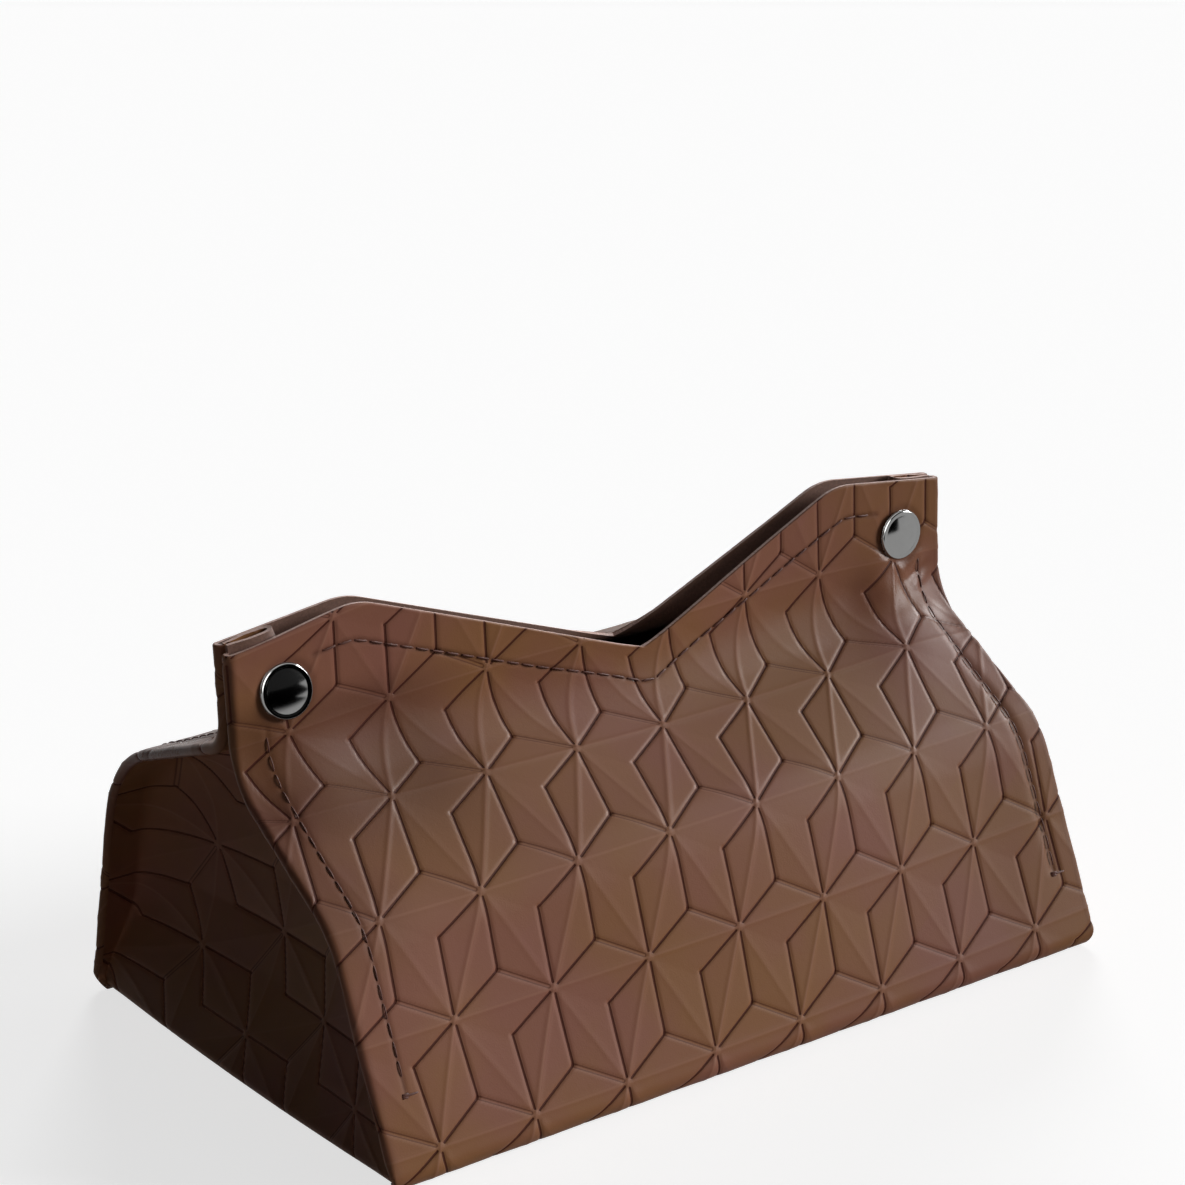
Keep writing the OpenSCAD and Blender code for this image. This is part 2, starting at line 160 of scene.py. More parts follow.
def rounded(corners, radii, step=0.1):
    """Points a step apart along a path with rounded corners, and its headings."""
    corners = [np.array(c, float) for c in corners]
    points, headings = [], []
    last = None
    for i, r in enumerate(radii, 1):
        into, out = corners[i] - corners[i - 1], corners[i + 1] - corners[i]
        h0, h1 = math.atan2(into[1], into[0]), math.atan2(out[1], out[0])
        turn = (h1 - h0 + math.pi) % (2 * math.pi) - math.pi
        side = math.copysign(1, turn)
        tangent = r * math.tan(abs(turn) / 2)
        start = corners[i] - into / np.linalg.norm(into) * tangent
        if last is not None:
            n = max(2, int(np.linalg.norm(start - last) / step))
            for k in range(1, n):
                points.append(last + (start - last) * k / n)
                headings.append(h0)
        centre = start + np.array([-math.sin(h0), math.cos(h0)]) * r * side
        n = max(4, int(abs(turn) * r / step))
        for k in range(n + 1):
            h = h0 + turn * k / n
            points.append(centre - np.array([-math.sin(h), math.cos(h)]) * r * side)
            headings.append(h)
        last = points[-1]
    n = int(np.linalg.norm(corners[-1] - last) / step)
    h = headings[-1]
    for k in range(1, n + 1):
        points.append(last + (corners[-1] - last) * k / n)
        headings.append(h)
    return np.array(points), np.array(headings)


def outward(headings):
    return np.stack([np.sin(headings), -np.cos(headings)], 1)


def lengths(points):
    """Length along a path at each of its points."""
    return np.r_[[0], np.cumsum(np.linalg.norm(np.diff(points, axis=0), axis=1))]


class Wall:
    """A wall's outer face. Places on it are given as x and s, the length up the leather from the base fold."""

    def __init__(self, name, pattern):
        self.name, self.pattern, self.side = name, pattern, WALLS[name]["side"]
        points, headings = rounded(WALLS[name]["corners"], WALLS[name]["radii"])
        self.reach, self.z = points[:, 0], points[:, 1]
        self.out = outward(headings)
        self.s = lengths(points)
        self.fold_y = points[0, 0]

    def s_of_z(self, z):
        return np.interp(z, self.z, self.s)

    def base(self, s, h):
        """(reach, z) at s, moved out by h."""
        reach = np.interp(s, self.s, self.reach) + h * np.interp(s, self.s, self.out[:, 0])
        z = np.interp(s, self.s, self.z) + h * np.interp(s, self.s, self.out[:, 1])
        return reach, z

    def spot(self, x, s, place):
        mid, wide, below, tall = place
        return bell((x - mid) / wide, (s - (self.s[-1] - below)) / tall)

    def slack(self, x, s):
        """How far soft leather stands out from the flat panel, by place."""
        top, off = self.s[-1], np.abs(x)
        waves = WAVE * np.sin(x / 21 + 0.9) * np.sin(s / 17 - 0.5) + CROSS_WAVE * np.sin(x / 33 - s / 25 + 2.1)
        free = fall(off, HALF - 9, 22) * rise(s, 4, 14) * rise(top - s, 20, 22)
        swell = SWELL * fall(off, HALF - 12, 70) * bell((s - 0.42 * top) / 26)
        lip = LIP * bell((x - 6) / 34) * rise(s, top - 50, 26)
        ends = ENDS * self.spot(off, s, ENDS_SPOT) * fall(off, HALF - 1.5, 9)
        pull = PULL * self.spot(x, s, PULL_SPOT)
        creases = CREASE * np.cos((s - top + 24) / 1.05 - (x - 88) / 2.6) * self.spot(x, s, CREASE_SPOT)
        return waves * free + swell + ends + pull + creases + (lip if self.side < 0 else REAR_LIP_SHARE * lip)

    def point(self, x, s, h=0.0):
        """Places in millimetres, at height h over the face."""
        x, s = np.broadcast_arrays(np.asarray(x, float), np.asarray(s, float))
        reach, z = self.base(s, self.slack(x, s) + h)
        return np.stack([x, self.side * reach, z], -1)


def mouth_drop(x, inset=0.0):
    """Height of the mouth's edge over the collar's highest points. Its path runs on past the corners, for the
    inset lines."""
    past, past_drop, past_steps = 20, 2.5, 40
    corners = [(-HALF - past, -CORNER_DROP - past_drop), (-NOTCH_HALF, 0), (NOTCH_OFFSET, -NOTCH_DEPTH),
               (NOTCH_HALF, 0), (HALF + past, -CORNER_DROP - past_drop)]
    points, headings = rounded(corners, [SHOULDER_R, TIP_R, SHOULDER_R])
    first = np.linspace(np.array(corners[0]), points[0], past_steps)[:-1]
    points = np.r_[first, points]
    headings = np.r_[np.full(len(first), headings[0]), headings]
    moved = points + inset * outward(headings)
    keep = np.maximum.accumulate(moved[:, 0]) <= moved[:, 0] + 1e-9
    return np.interp(x, moved[keep, 0], moved[keep, 1])


# Relief

STARS = {"00": (0, 0), "10": (STAR_A, 0), "01": (STAR_A / 2, STAR_B), "11": (1.5 * STAR_A, STAR_B)}
CENTRE_LOW = (STAR_A / 2, 0.3 * STAR_B)
CENTRE_HIGH = (STAR_A, 0.72 * STAR_B)
RIDGE_SHARE = STAR_A * STAR_B / math.hypot(STAR_A / 2, STAR_B)
# Depths or heights, and half widths
DISH_DEPTH = 0.58
DEEP_DEPTH, DEEP_WIDTH = 0.26, 0.42
PALE_DEPTH, PALE_WIDTH = 0.16, 0.62
STAR_DEPTH, STAR_WIDTH = 0.12, 0.9
RIDGES = ((0.12, 0.5), (0.09, 0.5), (0.04, 0.6))


def groove(centre, star):
    """A groove's two ends, stopping short of its star."""
    c, p = np.array(centre, float), np.array(STARS[star], float)
    return c, p + (c - p) * GROOVE_STOP / np.linalg.norm(c - p)


DEEP_GROOVES = [groove(CENTRE_LOW, "01"), groove(CENTRE_LOW, "00"),
                groove(CENTRE_HIGH, "10"), groove(CENTRE_HIGH, "11")]
PALE_GROOVE = groove(CENTRE_LOW, "10")


def lattice(u, v):
    """Shares across a lattice cell, the place in it in millimetres, and the star weights of its triangle."""
    row = v / STAR_B
    column = u / STAR_A - row / 2
    fu, fv = column - np.floor(column), row - np.floor(row)
    lower = fu + fv < 1
    weights = np.where(lower, np.stack([1 - fu - fv, fu, fv]), np.stack([fu + fv - 1, 1 - fu, 1 - fv]))
    return fu, fv, np.stack([STAR_A * (fu + fv / 2), STAR_B * fv], -1), weights


def to_line(place, ends):
    a, b = ends
    along = b - a
    t = np.clip(((place - a) @ along) / (along @ along), 0, 1)
    return np.linalg.norm(place - a - t[..., None] * along, axis=-1)


def relief(u, v):
    """Height of the embossed face: shallow three-sided dishes, grooves along their valleys, soft ridges."""
    fu, fv, place, weights = lattice(u, v)
    height = -DISH_DEPTH * weights.min(0)
    for ends in DEEP_GROOVES:
        height = height - DEEP_DEPTH * bell(to_line(place, ends) / DEEP_WIDTH)
    height = height - PALE_DEPTH * np.exp(-(to_line(place, PALE_GROOVE) / PALE_WIDTH) ** 4)
    for share, spacing, (rising, width) in zip((fu, fv, fu + fv), (RIDGE_SHARE, STAR_B, RIDGE_SHARE), RIDGES):
        height = height + rising * bell(np.abs(share - np.round(share)) * spacing / width)
    star = np.minimum.reduce([np.linalg.norm(place - np.array(p), axis=-1) for p in STARS.values()])
    return height - STAR_DEPTH * bell(star / STAR_WIDTH)


# The front panel's rows of stars: curves along x / HALF for their height up the leather and their lattice place
FRONT_ROWS = [
    ((1.51, 1.09, 9.28), (-0.03, 101.84, 14.96)),
    ((1.16, 0.98, 33.85), (3.38, 100.71, 13.51)),
    ((1.38, 1.31, 58.46), (2.34, 100.4, 12.35)),
    ((1.78, 0.25, 86.04), (-0.14, 100.6, 7.97)),
    ((-2.81, 2.19, 112.13), (4.57, 101.08, 10.43)),
]
# Where the rear panel's lattice starts, along x and up the leather
REAR_X, REAR_S = 5.0, 9.5


def front_pattern(x, s):
    """Lattice coordinates on the front panel, which is pressed and pulled a little unevenly."""
    x, s = np.broadcast_arrays(np.asarray(x, float), np.asarray(s, float))
    levels = [np.polyval(row[0], x / HALF) for row in FRONT_ROWS]
    places = [np.polyval(row[1], x / HALF) for row in FRONT_ROWS]
    u, v = np.zeros(x.shape), np.zeros(x.shape)
    for j in range(len(FRONT_ROWS) - 1):
        t = (s - levels[j]) / (levels[j + 1] - levels[j])
        here = (s >= levels[j]) | (j == 0)
        v = np.where(here, STAR_B * (j + t), v)
        u = np.where(here, places[j] + (places[j + 1] - places[j]) * np.clip(t, 0, 1), u)
    return u, v


def rear_pattern(x, s):
    x, s = np.broadcast_arrays(np.asarray(x, float), np.asarray(s, float))
    return REAR_X - x, s - REAR_S


FRONT = Wall("front", front_pattern)
REAR = Wall("rear", rear_pattern)


# Sheets

# Material slots of a sheet, and how much coarser its back is
FACE_SLOT, BACK_SLOT, CUT_SLOT = 0, 1, 2
BACK_STEP, END_BACK_STEP = 4, 3
EDGE_R = 0.4


def grid_normals(points):
    n = np.cross(np.gradient(points, axis=1), np.gradient(points, axis=0))
    return n / np.maximum(np.linalg.norm(n, axis=-1, keepdims=True), 1e-12)


def coarse(count, step):
    """The numbers below count that are a step apart, and the last one."""
    return np.unique(np.r_[np.arange(0, count, step), count - 1])


def cells(ids):
    """The four corners of each cell in a grid of vertex numbers."""
    return np.stack([ids[:-1, :-1], ids[:-1, 1:], ids[1:, 1:], ids[1:, :-1]], -1).reshape(-1, 4)


def rim_strips(face_ids, back_ids, ri, ci, cut_top):
    """Faces that join the fine borders of a sheet's face to its coarser back, each with its material slot."""
    rims = []
    for fine, rough, picks, turned, slot in (
        (face_ids[0], back_ids[0], ci, True, BACK_SLOT),
        (face_ids[-1], back_ids[-1], ci, False, CUT_SLOT if cut_top else BACK_SLOT),
        (face_ids[:, 0], back_ids[:, 0], ri, False, BACK_SLOT),
        (face_ids[:, -1], back_ids[:, -1], ri, True, BACK_SLOT),
    ):
        for k in range(len(picks) - 1):
            strip = [*fine[picks[k]:picks[k + 1] + 1].tolist(), int(rough[k + 1]), int(rough[k])]
            rims.append((strip[::-1] if turned else strip, slot))
    return rims


def leather_sheet(name, points, pattern, lift, thickness, materials, step=BACK_STEP, seams_and_painted_shade=0.0, gloss=0.0,
                  flip=False, cut_top=False):
    """A closed sheet of leather. points is a grid of places on its finished face, and pattern the lattice
    coordinates there. lift moves the face along its normal, the darkening value darkens it with darker stitch
    lines and painted shade, and gloss smooths it. The back is coarser. cut_top says that the last row is a cut
    edge, and the other borders are joins."""
    order = -1 if flip else 1
    normals = grid_normals(points) * order
    face = points + normals * lift[..., None]
    back = points - normals * thickness
    rows, cols = points.shape[:2]
    count = rows * cols
    ri, ci = coarse(rows, step), coarse(cols, step)
    picks = np.ix_(ri, ci)
    face_ids = np.arange(count).reshape(rows, cols)
    back_ids = count + np.arange(len(ri) * len(ci)).reshape(len(ri), len(ci))
    verts = np.r_[face.reshape(-1, 3), back[picks].reshape(-1, 3)] * MM
    quads = np.r_[cells(face_ids), cells(back_ids)[:, [0, 3, 2, 1]]].tolist()
    rims = rim_strips(face_ids, back_ids, ri, ci, cut_top)
    faces = [corners[::order] for corners in quads + [strip for strip, _ in rims]]
    mesh = new_mesh(name, verts.tolist(), faces)
    for material in materials:
        mesh.materials.append(material)
    slots = np.full(len(faces), BACK_SLOT, np.int32)
    slots[:(rows - 1) * (cols - 1)] = FACE_SLOT
    slots[len(quads):] = [slot for _, slot in rims]
    mesh.polygons.foreach_set("material_index", slots)
    coords = np.zeros((len(verts), 3), np.float32)
    coords[:count, :2] = pattern.reshape(-1, 2)
    coords[:count, 2] = np.ravel(seams_and_painted_shade)
    coords[count:, :2] = pattern[picks].reshape(-1, 2)
    mesh.attributes.new("pattern", "FLOAT_VECTOR", "POINT").data.foreach_set("vector", coords.ravel())
    worn = np.zeros(len(verts), np.float32)
    worn[:count] = np.ravel(gloss)
    mesh.attributes.new("worn", "FLOAT", "POINT").data.foreach_set("value", worn)
    mesh.update()
    # Normals are smooth on the face and the back, and flat on the rims
    corner_verts = np.zeros(len(mesh.loops), np.int32)
    mesh.loops.foreach_get("vertex_index", corner_verts)
    shade = grid_normals(face) * order
    vertex_normals = np.r_[shade.reshape(-1, 3), -normals[picks].reshape(-1, 3)]
    loop_normals = vertex_normals[corner_verts]
    face_normals = np.zeros(3 * len(faces))
    mesh.polygons.foreach_get("normal", face_normals)
    rim_sizes = [len(strip) for strip, _ in rims]
    loop_normals[4 * len(quads):] = np.repeat(face_normals.reshape(-1, 3)[len(quads):], rim_sizes, axis=0)
    mesh.normals_split_custom_set(loop_normals)
    return add_object(name, mesh)


def edge_roll(distance):
    """How far a face drops at a cut edge that is slightly rounded."""
    d = np.clip(EDGE_R - distance, 0, EDGE_R)
    return np.sqrt(np.maximum(EDGE_R * EDGE_R - d * d, 0)) - EDGE_R


# Wall panels

# Spacing of a panel's grid, steps round a side fold, and the last rows' distances from the mouth's edge
GRID = {"front": 0.56, "rear": 0.6}
FOLD_STEPS = 10
RIM_ROWS = np.array([0.8, 0.45, 0.2, 0.07, 0])
# Outer radius of a side fold on the panel, how much more it is at the collar and less at the foot
SIDE_FOLD_R, COLLAR_FOLD_MORE, FOOT_FOLD_LESS = 1.36, 0.4, 0.7
FOOT_NARROWER = 1.7
# Half widths and depths of the lines that stitches, seams and caps press into the face
SEAM_WIDTH, ROW_WIDTH, FURROW_WIDTH, RING_WIDTH = 0.5, 0.55, 1.5, 1.1
SEWN_DEPTH, FURROW_DEPTH, RING_DEPTH = 0.18, 0.4, 0.25
# How much of the relief is lost round a side fold
FOLD_FADE = 0.7
# How much darker the leather is painted, by place: painted shadow round the caps, painted shade in the side
# seams' furrows, a darker strip along each side fold and painted shade at the foot's fold; then painted shade
# for how the light falls on the left throat, the left edge, the right half and a band under the collar. The
# last value takes a share of that painted shade off on the collar
RING_PAINTED_SHADOW, FURROW_PAINTED_SHADE, SIDE_STRIP_DARKENING, FOOT_PAINTED_SHADE = 0.6, 0.3, 0.35, 0.4
THROAT_PAINTED_SHADE, LEFT_PAINTED_SHADE, RIGHT_PAINTED_SHADE, BAND_PAINTED_SHADE = 0.95, 0.6, 0.4, 0.25
COLLAR_SHADE_CLEAR = 0.8
# Where the leather is worn smooth: x and half width, then depth below HEIGHT and half width up the leather
GLOSS = 1.4
GLOSS_SPOTS = {"front": (84, 13, 25, 11), "rear": (95, 30, 36, 18)}


def side_fold_r(z):
    """Outer radius of a wall's side fold: open at the collar, tight on the panel, flat at the base."""
    return SIDE_FOLD_R + COLLAR_FOLD_MORE * rise(z, 78, 12) - FOOT_FOLD_LESS * fall(z, 9, 8)


def wall_grid(wall):
    """Columns run along x and then round each side fold. This gives their side, from -1 to 1, their
    turn round the fold, each place's length up the leather, and its distance from the mouth's edge."""
    grid = GRID[wall.name]
    flat = np.linspace(-1, 1, int(2 * HALF / grid))
    angles = np.linspace(0, 180, FOLD_STEPS + 1)[1:]
    edge = np.r_[-np.ones(FOLD_STEPS), flat, np.ones(FOLD_STEPS)]
    turn = np.radians(np.r_[angles[::-1], np.zeros(len(flat)), angles])
    share = np.linspace(0, 1, int(wall.s[-1] / grid))
    top_x = np.clip(edge * HALF, -HALF, HALF)
    lower = LEFT_CORNER_LOWER * rise(-top_x, 70, 28) if wall.side < 0 else 0
    top_s = wall.s_of_z(HEIGHT + mouth_drop(top_x) - lower)
    s = np.r_[share[:, None] * (top_s - RIM_ROWS[0] - grid), top_s - RIM_ROWS[:, None]]
    return edge[None, :], turn[None, :], s, top_s - s


def wall_seams(wall, x, s, z):
    """How strongly stitches press the leather in, and how strongly side seams pull a furrow."""
    off = np.abs(x)
    from_seam = off - (HALF - HEM)
    seam_run = rise(s - SIDE_START, -1, 2) * fall(z, SNAP_Z - CAP_R, 1.5)
    seam = bell(from_seam / SEAM_WIDTH) * seam_run
    furrow = bell(from_seam / FURROW_WIDTH) * seam_run * rise(x, -40, 90) * fall(z, 78, 16)
    mouth_s = wall.s_of_z(HEIGHT + mouth_drop(x, STITCH_INSET))
    row = bell((s - mouth_s) / ROW_WIDTH) * fall(off, SNAP_X - CAP_R, 1.5)
    return np.maximum(seam, row), furrow


def wall_painted_shade(x, s, z):
    """Painted shade for how the light falls: darker at the left throat, the left edge, the right half and in a
    band under the collar, less on the collar.
    """
    seams_and_painted_shade = THROAT_PAINTED_SHADE * rise(-x, 34, 28) * rise(z, 56, 14)
    seams_and_painted_shade = np.maximum(seams_and_painted_shade, LEFT_PAINTED_SHADE * rise(-x, 74, 18) * rise(z, 34, 24))
    seams_and_painted_shade = seams_and_painted_shade * (1 - COLLAR_SHADE_CLEAR * rise(z, 87, 8)) + RIGHT_PAINTED_SHADE * rise(x, -10, 100)
    return seams_and_painted_shade + BAND_PAINTED_SHADE * bell((z - 76) / 9)


def wall_gloss(wall, x, s):
    """How smooth the leather is worn: at the right in front, and at both ends of the rear shoulder."""
    mid, wide, below, tall = GLOSS_SPOTS[wall.name]
    across = x if wall.side < 0 else np.abs(x)
    return GLOSS * bell(np.hypot((across - mid) / wide, (s - wall.s_of_z(HEIGHT - below)) / tall))


def wall_sheet(wall, name, materials):
    edge, turn, s, down = wall_grid(wall)
    z = np.interp(s, wall.s, wall.z)
    r = side_fold_r(z)
    half = HALF - FOOT_NARROWER * (1 - rise(s, 0, 7))
    x = edge * (half - r + r * np.sin(turn))
    depth = r * (1 - np.cos(turn))
    along = np.where(turn > 0, edge * r * turn, 0)
    u, v = wall.pattern(edge * (HALF - r) + along, s)
    sewn, furrow = wall_seams(wall, x, s, z)
    sewn = np.where(turn > 0, 0, sewn)
    from_cap = np.hypot(np.abs(x) - SNAP_X, s - wall.s_of_z(SNAP_Z)) - CAP_R
    ring = bell(from_cap / RING_WIDTH)
    face = relief(u, v) * smooth(down / 1.2 + 0.25)
    face = face - SEWN_DEPTH * sewn - FURROW_DEPTH * np.where(turn > 0, 0, furrow)
    face = face * rise(from_cap, -1.5, 2.5) - RING_DEPTH * ring
    face = face * rise(s, 0, 4) * (1 - FOLD_FADE * smooth(turn / math.pi)) + edge_roll(down)
    side_strip = rise(np.abs(x) - HALF, -2.6, 1.2)
    # Darker stitch lines, painted shadow round the caps, a darker strip along the side folds and painted shade
    # in the seam furrows, then painted shade where the light falls off and at the foot's fold
    seams_and_painted_shade = np.maximum(sewn, RING_PAINTED_SHADOW * ring) + SIDE_STRIP_DARKENING * side_strip + FURROW_PAINTED_SHADE * furrow
    seams_and_painted_shade = seams_and_painted_shade + wall_painted_shade(x, s, z) + FOOT_PAINTED_SHADE * (1 - rise(s, 1, 6))
    return leather_sheet(name, wall.point(x, s, -depth), np.stack([u, v], -1), face, LEATHER, materials,
                         seams_and_painted_shade=np.clip(seams_and_painted_shade, 0, 1), gloss=wall_gloss(wall, x, s),
                         flip=wall.side > 0, cut_top=True)


# End panels

# Depth of an end panel's face under a wall's: two plies and the gap between them
FAR = 2 * LEATHER + PLY_GAP
# A slanted band from x and z on. The slopes are per millimetre along x and y, and along z below and above
# BLEND_Z
BLEND_X, BLEND_Z = 79.0, 80.0
BLEND_SLOPE_X, BLEND_SLOPE_Y, BLEND_SLOPE_LOW, BLEND_SLOPE_HIGH = 0.07, 0.03, 0.03, -0.0254
# The fold at the foot: where it starts, its radius and its steps. FLOOR_GAP keeps faces off the floor
FOOT_Z, FOOT_R, FOOT_STEPS = 2.6, 1.7, 9
FLOOR_GAP = 0.02
END_ROWS, HEM_STEPS, SWEEP_STEPS = 150, 12, 230
# The sweep across an end panel is a superellipse, with powers in this range
SWEEP_POWERS = (2, 14)
HEM_CLOSING = 1.1
# How much the top edge rises inwards, and how far and how high the foot bows out
TOP_SLOPE = 0.125
BOW, BOW_HEIGHT = 1.8, 22
# Where the lattice starts up the panel, across it and in its own rows, and how much its rows bend
END_U, END_Y, END_V, END_BEND = 24.1, 1.0, 15.3, 0.00256
END_THINNER = 0.05


def dent(z):
    return END_INSET + END_DENT * np.interp(z / HEIGHT, DENT_Z, DENT_SHARE)


def middle_inset(z):
    foot = DENT_Z[-1] * HEIGHT
    inwards = dent(foot) + (PLEAT_TOP - dent(foot)) * (z - foot) / (HEIGHT - foot)
    return np.where(z < foot, dent(z), inwards)


def hem_at(z):
    return HEM_BASE + (HEM - HEM_BASE) * smooth(z / HEM_RISE)


def inside_reach(wall, z, depth):
    reach, level = wall.base(wall.s, -depth)
    return np.interp(z, level, reach)


def end_row(sx, z):
    """One row across an end panel at height z: along a hem, round the pleat and back along the other hem."""
    yf, yr = inside_reach(FRONT, z, FAR), inside_reach(REAR, z, FAR)
    half, centre = (yf + yr) / 2, (yr - yf) / 2
    hem = np.linspace(0, 1, HEM_STEPS)
    sweep = np.linspace(0, math.pi, SWEEP_STEPS)
    start = HALF - hem_at(z)
    depth = max(middle_inset(z) - LEATHER / 2 - hem_at(z), LEATHER / 4)
    power = np.clip(2 * depth * (PLEAT_FOLD_R - LEATHER / 2) / half ** 2, *SWEEP_POWERS)
    pleat_x = start - depth * np.sin(sweep) ** (2 / power)
    pleat_y = centre - half * np.cos(sweep)
    r = side_fold_r(z)
    hem_x = (HALF - r) + (start - HALF + r) * hem
    gap = (2 * r - FAR) * (1 - smooth(hem * HEM_CLOSING))
    x = np.r_[hem_x[:-1], pleat_x, hem_x[:-1][::-1]]
    y = np.r_[centre - half + gap[:-1], pleat_y, (centre + half - gap[:-1])[::-1]]
    risen = z + (z > BLEND_Z) * (z - BLEND_Z) / (HEIGHT - CORNER_DROP - BLEND_Z) * TOP_SLOPE * (HALF - x)
    return np.stack([sx * x, y, risen + 0 * x], -1)


def foot_rows(sx, grid):
    """The rows of the fold at an end panel's foot, which turns in under the cover."""
    foot, up = grid[0], grid[1] - grid[0]
    lean = np.arctan2(np.abs(up[:, 0]) * np.sign(-sx * up[:, 0]), up[:, 2])
    end = lean + math.pi / 2
    rows = []
    for k in range(FOOT_STEPS):
        a = end * k / FOOT_STEPS
        row = foot.copy()
        row[:, 0] -= sx * (FOOT_R * (np.sin(end) - np.sin(a)))
        row[:, 2] = np.maximum(row[:, 2] - FOOT_R * (np.cos(a) - np.cos(end)), FLOOR_GAP)
        rows.append(row)
    return np.array(rows)


def end_grid(sx):
    """An end panel's finished face, by rows from the fold at its foot up to the collar, with its lattice
    coordinates, the row at BLEND_Z and the middle column."""
    low = np.linspace(FOOT_Z, BLEND_Z, END_ROWS)
    high = np.linspace(BLEND_Z, HEIGHT - CORNER_DROP, END_ROWS // 3)
    grid = np.array([end_row(sx, z) for z in np.r_[low, high[1:]]])
    first, last = grid[0, 0, 1], grid[0, -1, 1]
    across = (grid[..., 1] - (first + last) / 2) / ((last - first) / 2)
    grid[..., 0] += sx * (BOW * np.clip(1 - across ** 2, 0, 1) * (1 - smooth(grid[..., 2] / BOW_HEIGHT)))
    grid = np.r_[foot_rows(sx, grid), grid]
    middle = grid.shape[1] // 2
    slant = lengths(grid[:, middle])
    widths = np.cumsum(np.linalg.norm(np.diff(grid, axis=1), axis=2), axis=1)
    across = np.concatenate([np.zeros((len(grid), 1)), widths], 1)
    across = across - across[:, middle:middle + 1]
    u = slant[:, None] - END_U + 0 * across
    y = -sx * (across + grid[FOOT_STEPS, middle, 1]) - END_Y
    v = END_V + y - END_BEND * y * y
    return grid, np.stack([u, v], -1), FOOT_STEPS + END_ROWS - 1, middle


def end_panel(sx, side_name, materials):
    """Four leaves: the front and rear halves, each cut at BLEND_Z into a low and a high part."""
    grid, pattern, split, middle = end_grid(sx)
    lift = relief(pattern[..., 0], pattern[..., 1]) * rise(np.arange(len(grid)), 2, 6)[:, None]
    low = ("low", slice(0, split + 1), BLEND_SLOPE_LOW, False)
    high = ("high", slice(split, None), BLEND_SLOPE_HIGH, True)
    for which, side, cols in (("front", -1, slice(0, middle + 1)), ("rear", 1, slice(middle, None))):
        for part, rows, climb, cut_top in (low, high):
            obj = leather_sheet(f"{side_name}_end_{which}_{part}", grid[rows, cols], pattern[rows, cols],
                                lift[rows, cols], LEATHER - END_THINNER, materials, step=END_BACK_STEP,
                                flip=sx < 0, cut_top=cut_top)
            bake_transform(obj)
            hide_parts(f"{side_name}_gusset")


# Base

# Gap to the end panels' feet, spacing of the columns, and number of rows
BASE_GAP, BASE_GRID, BASE_ROWS = 0.9, 0.9, 140


def base_sheet(materials):
    """The panel under the pack, its finished face down."""
    x_end = HALF - END_INSET - BASE_GAP
    xs = np.linspace(-x_end, x_end, int(2 * x_end / BASE_GRID))
    ys = np.linspace(-(FRONT.fold_y - FOLD_GAP), REAR.fold_y - FOLD_GAP, BASE_ROWS)
    x, y = np.meshgrid(xs, ys)
    u, v = FRONT.pattern(x, -(y + FRONT.fold_y))
    lift = np.minimum(relief(u, v), 0)
    obj = leather_sheet("base_sheet", np.stack([x, y, FLOOR_GAP + 0 * x], -1), np.stack([u, v], -1), lift,
                        LEATHER, materials, flip=True)
    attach(obj, "base")
    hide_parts("base_panel")


# Stitching

MOUTH_THREAD_R, SIDE_THREAD_R, TACK_THREAD_R = 0.23, 0.18, 0.24
THREAD_SIDES, THREAD_RINGS = 8, 9
# In thread radii: how far a stitch arches out, how deep its ends lie, and the twist's length
ARCH, SUNK, TWIST_LENGTH = 1.25, 0.9, 6
# Shares of the radius that a stitch loses at its ends, and that the twist adds or takes
TAPER, TWIST = 0.25, 0.16
# A bar tack's threads: where each begins and ends beside the seam, their spacing, and their slope
TACKS = ((-1.2, 0.4), (-1.3, 2.9), (-1.1, 0.6))
TACK_PITCH, TACK_SLOPE = 0.33, 0.1
# How far stitches stay clear of a cap, across and below it
CAP_CLEAR_X, CAP_CLEAR_S = 1.6, 1
LINE_POINTS = {"mouth": 900, "side": 300}


def thread_mesh(name, runs, radius, material, body, node):
    """Stitches as short twisted cords, each from a to b with its outward direction, dipping in at both ends."""
    verts, faces = [], []
    sides, rings = THREAD_SIDES, THREAD_RINGS
    for a, b, out in runs:
        a, b, out = (np.array(v, float) for v in (a, b, out))
        length = np.linalg.norm(b - a)
        along = (b - a) / length
        out = out - along * (out @ along)
        out /= np.linalg.norm(out)
        across = np.cross(along, out)
        first = len(verts)
        for k in range(rings):
            t = k / (rings - 1)
            arch = math.sin(math.pi * t) ** 0.5
            centre = a + along * length * t + out * radius * (ARCH * arch - SUNK)
            for j in range(sides):
                g = 2 * math.pi * j / sides
                twist = 1 + TWIST * math.cos(2 * g - 2 * math.pi * length * t / (TWIST_LENGTH * radius))
                r = radius * (1 - TAPER + TAPER * arch) * twist
                verts.append((centre + (math.cos(g) * across + math.sin(g) * out) * r) * MM)
        ids = first + np.arange(rings * sides).reshape(rings, sides)
        faces += cells(np.c_[ids, ids[:, 0]]).tolist() + [ids[0, ::-1].tolist(), ids[-1].tolist()]
    mesh = new_mesh(name, [tuple(v) for v in verts], faces)
    mesh.materials.append(material)
    mesh.update()
    obj = add_object(name, mesh)
    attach(obj, body)
    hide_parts(node)


def runs_along(wall, places):
    """Stitches along a line of (x, s) places."""
    total = lengths(wall.point(places[:, 0], places[:, 1]))
    count = int((total[-1] - STITCH_L) / STITCH_PITCH)
    start = (total[-1] - count * STITCH_PITCH - STITCH_L) / 2
    runs = []
    for i in range(count + 1):
        ends = []
        for d in (start + i * STITCH_PITCH, start + i * STITCH_PITCH + STITCH_L):
            x, s = (np.interp(d, total, line) for line in places.T)
            ends.append((wall.point(x, s), wall.point(x, s, 1.0) - wall.point(x, s)))
        runs.append((ends[0][0], ends[1][0], ends[0][1] + ends[1][1]))
    return runs


